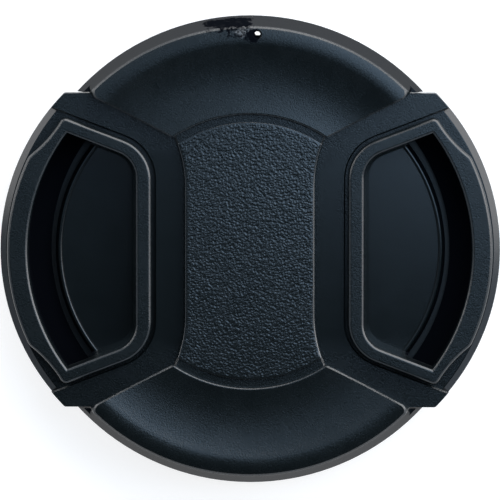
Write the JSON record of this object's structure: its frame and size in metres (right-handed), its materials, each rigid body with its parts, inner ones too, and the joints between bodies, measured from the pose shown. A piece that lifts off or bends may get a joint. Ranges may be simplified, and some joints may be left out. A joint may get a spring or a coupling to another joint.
{
  "type": "camera lens cap",
  "caption": "Round clip-in cap for the front of a camera lens, with sprung side tabs in finger wells that are pinched together to release it from the filter thread.",
  "frame": {"origin": "centre of the rear face, where the cap rests", "axes": "+Z out of the front, +X the way the right tab slides out, +Y towards the keeper hole"},
  "size_m": [0.0662, 0.062, 0.008],
  "materials": {
    "black_plastic": "fine spark-eroded matte, smooth on the outer wall and ledges",
    "spring_steel": "bright drawn wire"
  },
  "bodies": {
    "cap_body": {"front_cover": "black_plastic", "rear_cover": "black_plastic", "right_spring": "spring_steel", "left_spring": "spring_steel"},
    "right_tab_body": {"right_tab": "black_plastic"},
    "left_tab_body": {"left_tab": "black_plastic"}
  },
  "joints": [
    {"name": "right_tab_slide", "type": "slide", "parent": "cap_body", "child": "right_tab_body", "axis": [-1, 0, 0], "range_m": [0, 0.0034], "stiffness_N_per_m": 600, "springref_m": -0.0025, "deforming": ["right_spring"]},
    {"name": "left_tab_slide", "type": "slide", "parent": "cap_body", "child": "left_tab_body", "axis": [1, 0, 0], "range_m": [0, 0.0034], "stiffness_N_per_m": 600, "springref_m": -0.0025, "deforming": ["left_spring"]}
  ]
}
